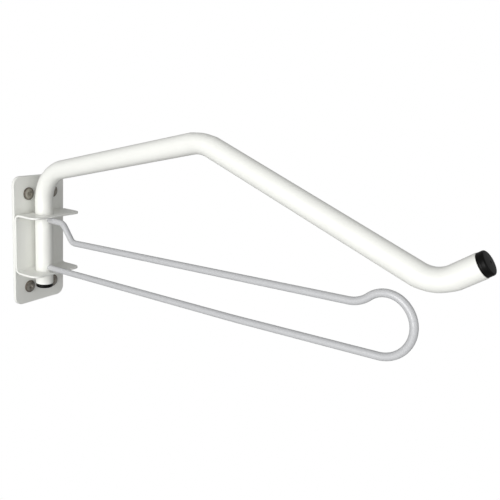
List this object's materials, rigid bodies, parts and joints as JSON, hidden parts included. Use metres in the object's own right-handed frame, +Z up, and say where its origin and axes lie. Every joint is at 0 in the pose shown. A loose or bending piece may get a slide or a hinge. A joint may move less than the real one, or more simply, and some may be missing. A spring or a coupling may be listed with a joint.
{
  "type": "bicycle wall rack",
  "caption": "Wall-mounted bicycle rack: a bent tube arm with an upturned tip and a wire loop under it swivels in a bracket on a screwed wall plate.",
  "frame": {"origin": "centre of the wall plate's back face", "axes": "+Y into the wall, +X to the right when facing the wall, +Z up"},
  "size_m": [0.1072, 0.5752, 0.2412],
  "materials": {
    "white_powder_coat": "satin powder coat",
    "grey_coated_wire": "satin grey coating",
    "black_plastic": "moulded, fine grain",
    "screw_steel": "dull zinc plated"
  },
  "bodies": {
    "wall_bracket": {"wall_plate": "white_powder_coat", "pivot_bracket": "white_powder_coat", "screw_upper_left": "screw_steel", "screw_upper_right": "screw_steel", "screw_lower_left": "screw_steel", "screw_lower_right": "screw_steel"},
    "arm": {"arm_tube": "white_powder_coat", "wire_loop": "grey_coated_wire", "tip_cap": "black_plastic", "foot_plug": "black_plastic"}
  },
  "joints": [
    {"name": "arm_swivel", "type": "hinge", "parent": "wall_bracket", "child": "arm", "pos_m": [-0.0088, -0.0213, 0], "axis": [0, 0, 1], "range_deg": [-85, 95]}
  ]
}
